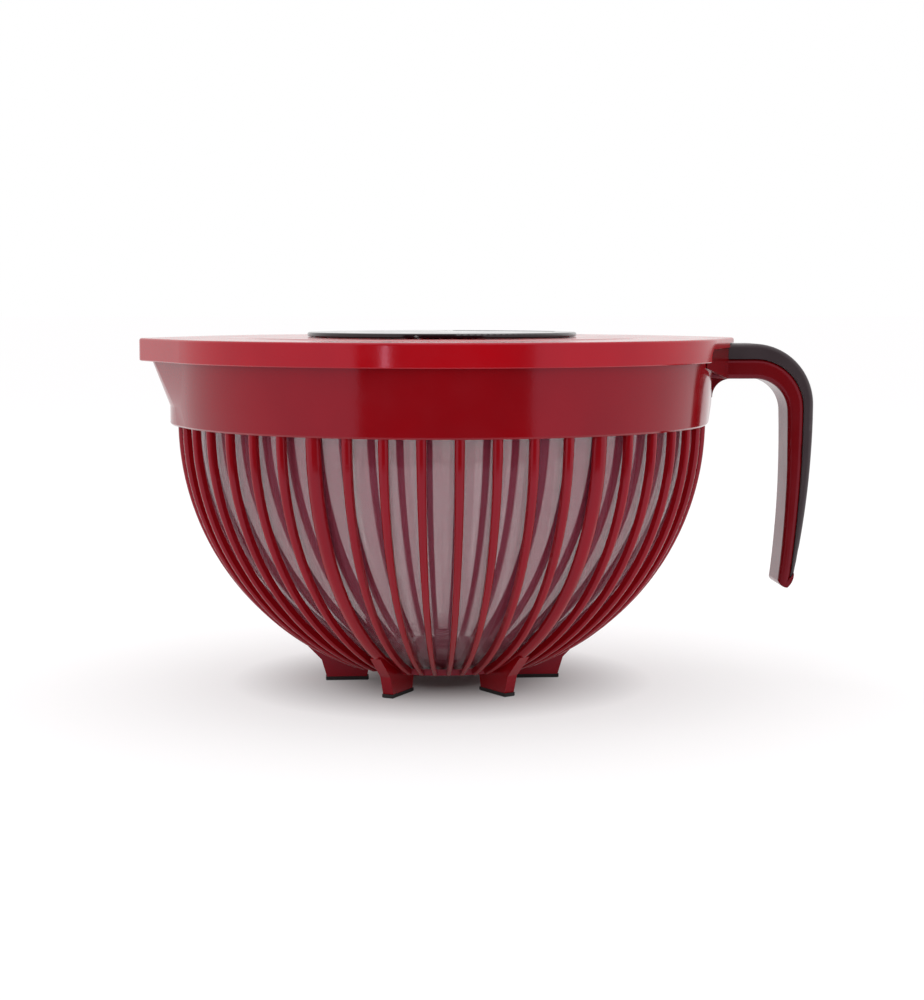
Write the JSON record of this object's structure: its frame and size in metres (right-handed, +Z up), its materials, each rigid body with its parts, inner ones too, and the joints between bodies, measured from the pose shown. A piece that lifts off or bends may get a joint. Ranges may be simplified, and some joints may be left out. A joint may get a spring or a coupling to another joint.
{
  "type": "salad spinner",
  "caption": "Ribbed kitchen salad spinner with side handle, pouring spout, smoky bowl, spinning basket and a lid with a geared hand-turned disc.",
  "frame": {"origin": "on the floor, under the middle of the object's bounding box; the bowl's axis stands 17.05 mm from it towards -X", "axes": "+X towards the side handle, -X towards the pouring spout, +Z up along the bowl's axis"},
  "size_m": [0.3162, 0.26, 0.1653],
  "materials": {
    "cage_red": "glossy deep red moulding",
    "lid_red": "glossy red moulding",
    "handle_red": "glossy dark red core",
    "grip_soft": "soft-touch black overmould",
    "pad_rubber": "dark non-slip rubber",
    "bowl_smoke": "smoky see-through plastic, thin wall",
    "basket_clear": "clear see-through plastic",
    "seal_silicone": "soft grey silicone",
    "cover_grey": "dark grey moulding",
    "white_acetal": "white slippery acetal",
    "steel": "stainless steel",
    "disc_dark": "dark glossy moulding",
    "knob_dark": "satin dark grip"
  },
  "bodies": {
    "cage": {"outer_cage": "cage_red", "foot_pads": "pad_rubber", "handle_core": "handle_red", "handle_grip": "grip_soft"},
    "bowl_unit": {"bowl": "bowl_smoke", "pivot_pin": "steel"},
    "basket_unit": {"basket": "basket_clear", "basket_bush": "basket_clear"},
    "lid_unit": {"lid": "lid_red", "lid_seal": "seal_silicone", "gear_cover": "cover_grey", "cover_screws": "steel", "planet_pins": "steel", "planet_clips": "steel", "shaft_bush": "white_acetal", "bearing_ring": "white_acetal"},
    "disc_unit": {"drive_disc": "disc_dark", "ring_gear": "white_acetal", "ring_screws": "steel", "hinge_pin": "steel"},
    "drive_unit": {"sun_gear": "white_acetal", "drive_plate": "cover_grey", "drive_washer": "steel", "drive_screw": "steel"},
    "planet_1": {"planet_gear_1": "white_acetal"},
    "planet_2": {"planet_gear_2": "white_acetal"},
    "planet_3": {"planet_gear_3": "white_acetal"},
    "crank_unit": {"crank_arm": "disc_dark", "knob_spindle": "steel"},
    "knob_unit": {"knob": "knob_dark"}
  },
  "joints": [
    {"name": "bowl_lift", "type": "slide", "parent": "cage", "child": "bowl_unit", "axis": [0, 0, 1], "range_m": [0, 0.16]},
    {"name": "lid_lift", "type": "slide", "parent": "bowl_unit", "child": "lid_unit", "axis": [0, 0, 1], "range_m": [0, 0.12]},
    {"name": "disc_spin", "type": "hinge", "parent": "lid_unit", "child": "disc_unit", "pos_m": [-0.01705, 0, 0.16], "axis": [0, 0, 1], "continuous": true},
    {"name": "planet_1_spin", "type": "hinge", "parent": "lid_unit", "child": "planet_1", "pos_m": [0.01595, 0, 0.146], "axis": [0, 0, 1], "continuous": true},
    {"name": "planet_2_spin", "type": "hinge", "parent": "lid_unit", "child": "planet_2", "pos_m": [-0.03355, 0.02858, 0.146], "axis": [0, 0, 1], "continuous": true},
    {"name": "planet_3_spin", "type": "hinge", "parent": "lid_unit", "child": "planet_3", "pos_m": [-0.03355, -0.02858, 0.146], "axis": [0, 0, 1], "continuous": true},
    {"name": "drive_spin", "type": "hinge", "parent": "lid_unit", "child": "drive_unit", "pos_m": [-0.01705, 0, 0.14], "axis": [0, 0, 1], "continuous": true},
    {"name": "basket_spin", "type": "hinge", "parent": "bowl_unit", "child": "basket_unit", "pos_m": [-0.01705, 0, 0.024], "axis": [0, 0, 1], "continuous": true},
    {"name": "crank_fold", "type": "hinge", "parent": "disc_unit", "child": "crank_unit", "pos_m": [0.03045, 0, 0.1586], "axis": [0, 1, 0], "range_deg": [0, 90]},
    {"name": "knob_spin", "type": "hinge", "parent": "crank_unit", "child": "knob_unit", "pos_m": [0.00795, 0, 0.1586], "axis": [1, 0, 0], "continuous": true}
  ],
  "couplings": [
    {"joint": "planet_1_spin", "follows": "disc_spin", "ratio": 2.8333},
    {"joint": "planet_2_spin", "follows": "disc_spin", "ratio": 2.8333},
    {"joint": "planet_3_spin", "follows": "disc_spin", "ratio": 2.8333},
    {"joint": "drive_spin", "follows": "disc_spin", "ratio": -3.4},
    {"joint": "basket_spin", "follows": "disc_spin", "ratio": -3.4}
  ]
}
